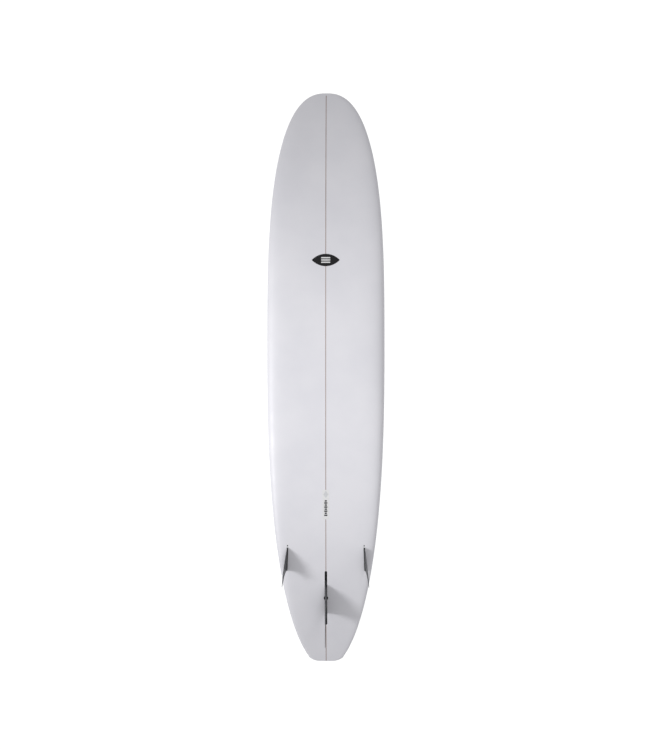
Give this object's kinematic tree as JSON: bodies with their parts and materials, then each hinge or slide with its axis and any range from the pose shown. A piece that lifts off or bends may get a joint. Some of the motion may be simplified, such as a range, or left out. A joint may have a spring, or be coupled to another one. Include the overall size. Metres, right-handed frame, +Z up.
{
  "type": "longboard surfboard",
  "caption": "Longboard surfboard with a rounded nose, squared-off tail, long centre fin box with a raked fin, side fins, leash plug and vent.",
  "frame": {"origin": "on the floor under the middle of the board's length, on the stringer line, with the board lying deck down and its fins up", "axes": "+X across the board, +Y to the nose, +Z up, out of the bottom skin"},
  "size_m": [0.5713, 2.7936, 0.2496],
  "materials": {
    "white_laminate": "glossy epoxy laminate over white",
    "white_foam": "fine closed-cell foam",
    "dense_foam": "dense closed-cell foam",
    "stringer_wood": "thin wood strip",
    "box_black": "moulded",
    "box_white": "moulded",
    "fin_smoke": "satin composite",
    "stainless": "machined",
    "screw_black": "black oxide",
    "cup_white": "moulded",
    "vent_body": "moulded",
    "vent_cloth": "breathing film",
    "print_black": "thin film",
    "print_white": "thin film",
    "print_grey": "thin film"
  },
  "bodies": {
    "board": {"bottom_skin": "white_laminate", "deck_skin": "white_laminate", "tail_patch": "white_laminate", "core_left": "white_foam", "core_right": "white_foam", "stringer": "stringer_wood", "center_box": "box_black", "center_box_bed": "dense_foam", "side_box_left": "box_white", "side_box_right": "box_white", "side_box_bed_left": "dense_foam", "side_box_bed_right": "dense_foam", "leash_cup": "cup_white", "leash_bar": "stainless", "leash_plug_bed": "dense_foam", "vent_body": "vent_body", "vent_membrane": "vent_cloth", "vent_ring": "vent_body", "badge": "print_black", "badge_bars": "print_white", "stringer_label": "print_white", "stringer_mark": "print_black", "stringer_emblem": "print_grey"},
    "center_fin": {"center_fin": "fin_smoke", "fin_roller_pin": "stainless", "fin_plate": "stainless"},
    "fin_screw": {"fin_screw": "screw_black"},
    "side_fin_left": {"side_fin_left": "fin_smoke"},
    "side_fin_right": {"side_fin_right": "fin_smoke"},
    "grub_screw_left": {"grub_screw_left": "screw_black"},
    "grub_screw_right": {"grub_screw_right": "screw_black"}
  },
  "joints": [
    {"name": "center_fin_slide", "type": "slide", "parent": "board", "child": "center_fin", "axis": [0, 0.9929, 0.1189], "range_m": [-0.05, 0.045]},
    {"name": "fin_screw_turn", "type": "hinge", "parent": "center_fin", "child": "fin_screw", "pos_m": [0, -1.00455, 0.08], "axis": [0, -0.1189, 0.9929], "range_deg": [0, 1080]},
    {"name": "side_fin_left_lift", "type": "slide", "parent": "board", "child": "side_fin_left", "axis": [-0.1391, -0.088, 0.9864], "range_m": [0, 0.05]},
    {"name": "side_fin_right_lift", "type": "slide", "parent": "board", "child": "side_fin_right", "axis": [0.1391, -0.088, 0.9864], "range_m": [0, 0.05]},
    {"name": "grub_screw_left_turn", "type": "hinge", "parent": "board", "child": "grub_screw_left", "pos_m": [-0.18645, -0.82284, 0.09685], "axis": [-0.0712, 0.6413, 0.764], "range_deg": [0, 1080]},
    {"name": "grub_screw_right_turn", "type": "hinge", "parent": "board", "child": "grub_screw_right", "pos_m": [0.18645, -0.82284, 0.09685], "axis": [0.0712, 0.6413, 0.764], "range_deg": [0, 1080]}
  ]
}
